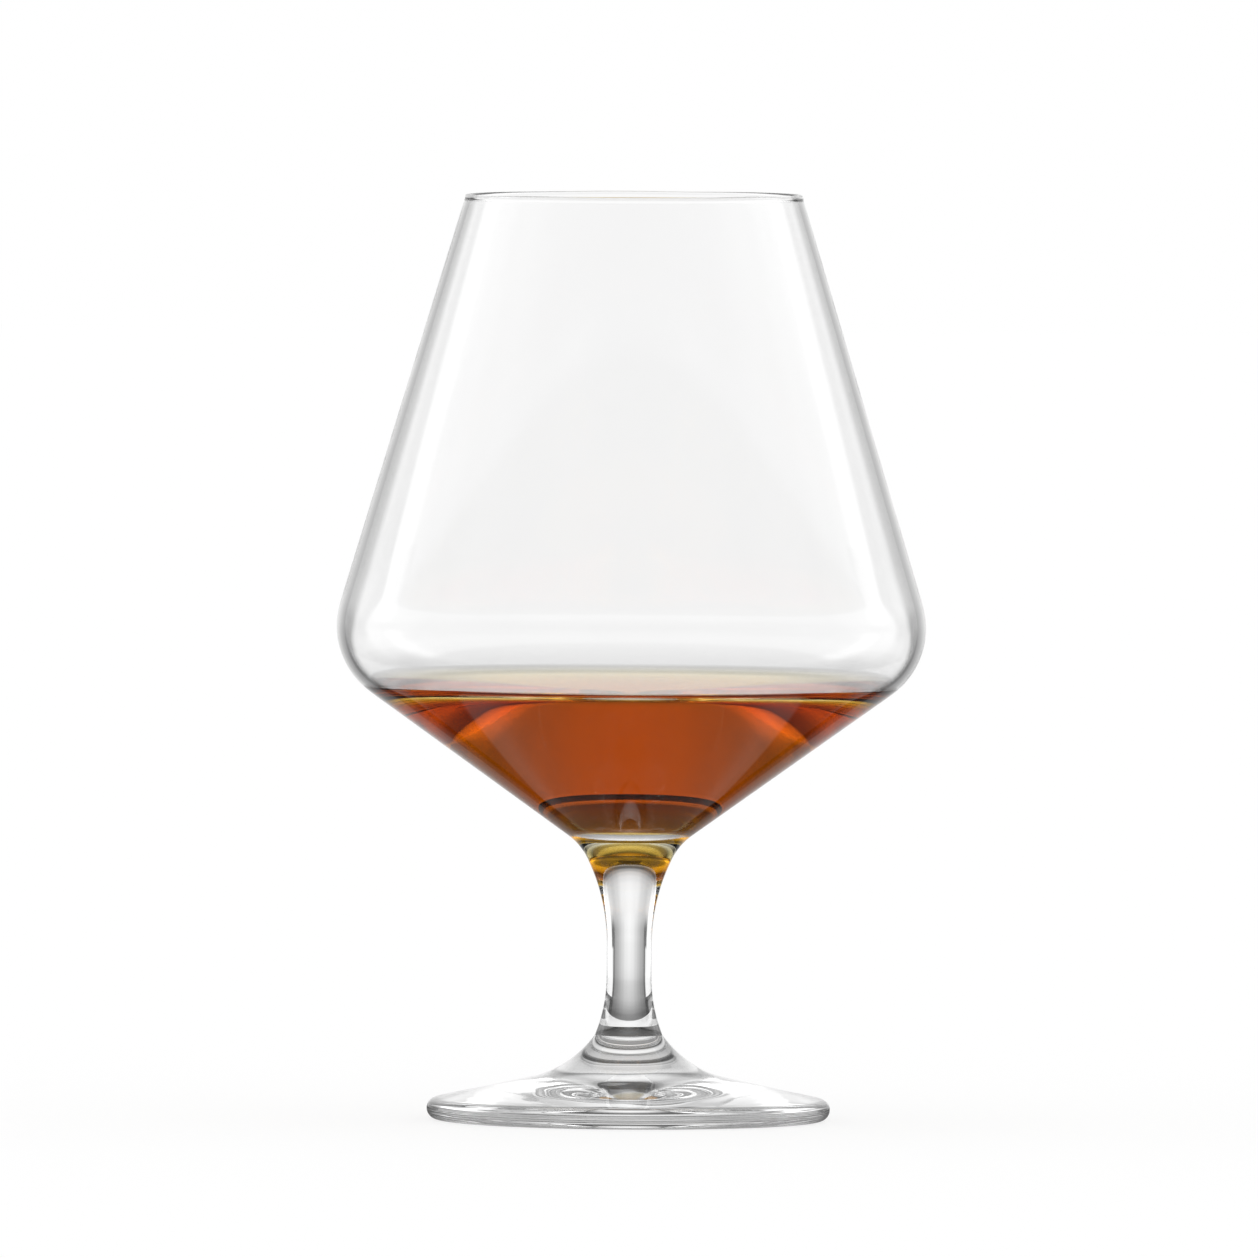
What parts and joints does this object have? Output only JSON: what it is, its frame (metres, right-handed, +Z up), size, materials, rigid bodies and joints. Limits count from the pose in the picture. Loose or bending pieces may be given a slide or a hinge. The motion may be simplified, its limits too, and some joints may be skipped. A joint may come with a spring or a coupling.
{
  "type": "brandy snifter",
  "caption": "Clear stemmed snifter with a wide belly that narrows to the rim, a short waisted stem, a round foot, and amber brandy in the bowl.",
  "frame": {"origin": "on the table, at the middle of the ring that the foot stands on", "axes": "+Z up along the axis that every piece is turned about; the picture is taken from -Y, so +X is to the viewer's right"},
  "size_m": [0.1062, 0.1062, 0.167],
  "materials": {
    "clear_glass": "polished",
    "brandy": "gloss"
  },
  "bodies": {
    "glass": {"bowl": "clear_glass", "stem": "clear_glass", "foot": "clear_glass"},
    "brandy": {"brandy": "brandy"}
  },
  "joints": [
    {"name": "brandy_swirl", "type": "hinge", "parent": "glass", "child": "brandy", "pos_m": [0, 0, 0.0653], "axis": [0, 0, 1], "continuous": true}
  ]
}
